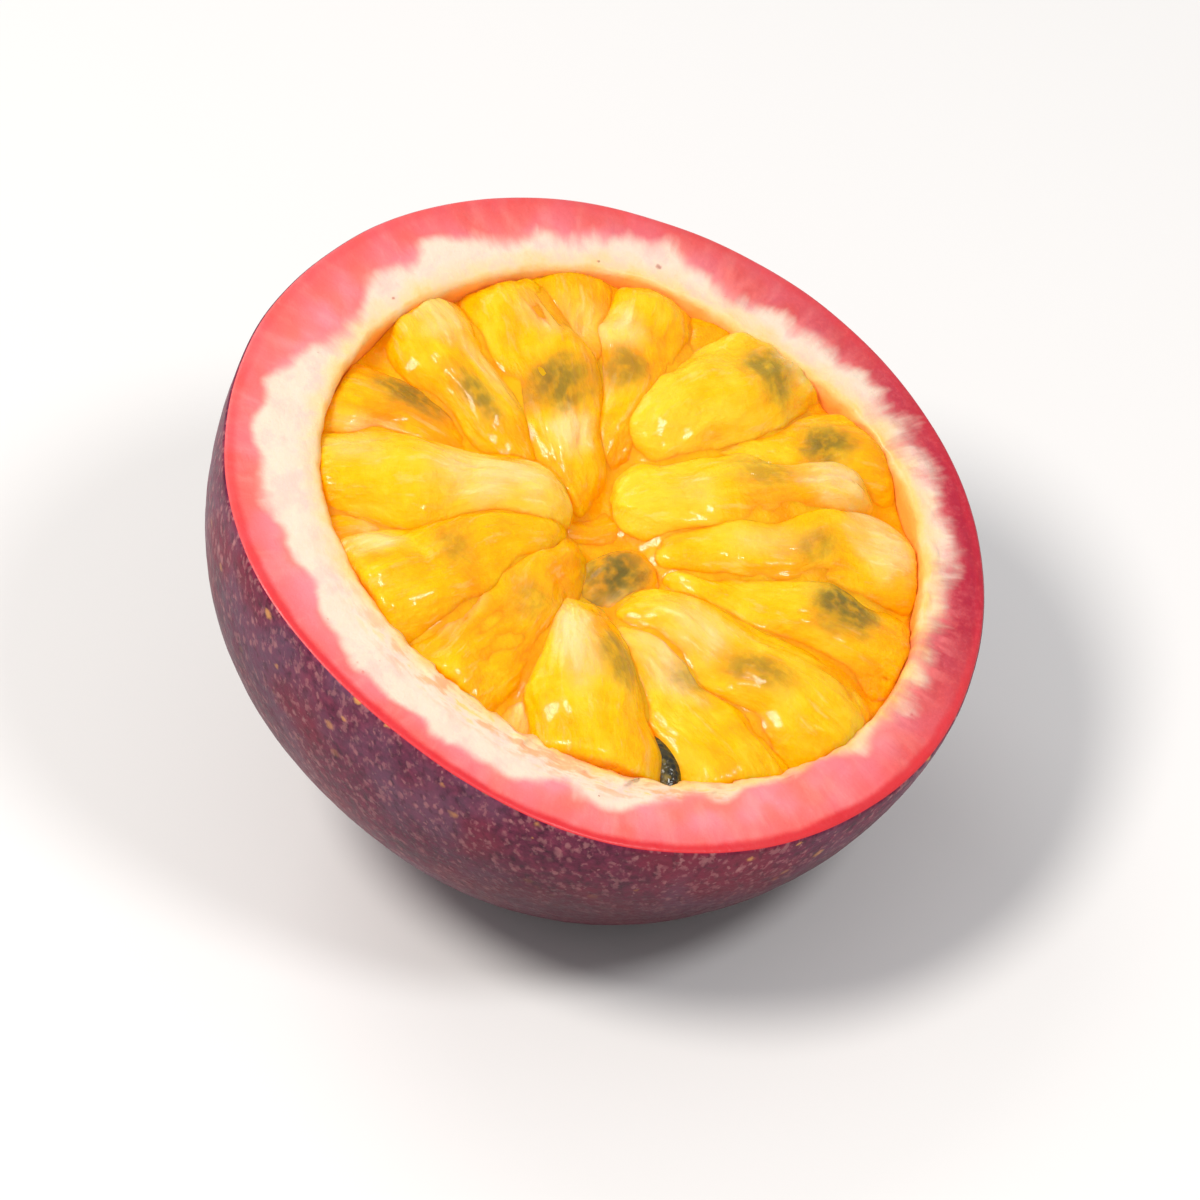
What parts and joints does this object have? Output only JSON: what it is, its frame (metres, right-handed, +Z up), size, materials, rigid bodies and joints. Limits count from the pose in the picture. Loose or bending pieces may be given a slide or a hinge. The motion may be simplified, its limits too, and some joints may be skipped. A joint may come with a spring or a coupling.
{
  "type": "passion fruit half",
  "caption": "Halved purple passion fruit resting on its rounded back, its cut face up: thick rind with a white pith, and a cavity full of yellow juice sacs with dark seeds.",
  "frame": {"origin": "bottom centre of the whole object's box, on the surface it rests on", "axes": "+Z up; the cut face leans 21 degrees towards -Y"},
  "size_m": [0.0546, 0.0542, 0.0371],
  "materials": {
    "rind": "waxy dark purple skin over coral flesh and white pith",
    "juice_sac": "wet translucent yellow-orange",
    "seed": "hard dark seed coat, wet",
    "pulp": "wet orange pulp"
  },
  "bodies": {
    "root": {"rind": "rind", "sac_01": "juice_sac", "sac_02": "juice_sac", "sac_03": "juice_sac", "sac_04": "juice_sac", "sac_05": "juice_sac", "sac_06": "juice_sac", "sac_07": "juice_sac", "sac_08": "juice_sac", "sac_09": "juice_sac", "sac_10": "juice_sac", "sac_11": "juice_sac", "sac_12": "juice_sac", "sac_13": "juice_sac", "sac_14": "juice_sac", "sac_15": "juice_sac", "sac_16": "juice_sac", "sac_17": "juice_sac", "sac_18": "juice_sac", "sac_19": "juice_sac", "sac_20": "juice_sac", "sac_21": "juice_sac", "seed_01": "seed", "seed_02": "seed", "seed_03": "seed", "seed_04": "seed", "seed_05": "seed", "seed_06": "seed", "seed_07": "seed", "seed_08": "seed", "seed_09": "seed", "seed_10": "seed", "seed_11": "seed", "seed_12": "seed", "seed_13": "seed", "seed_14": "seed", "seed_15": "seed", "seed_16": "seed", "seed_17": "seed", "seed_18": "seed", "seed_19": "seed", "seed_20": "seed", "seed_21": "seed", "bare_seed": "seed", "pulp_bed": "pulp"}
  },
  "joints": []
}
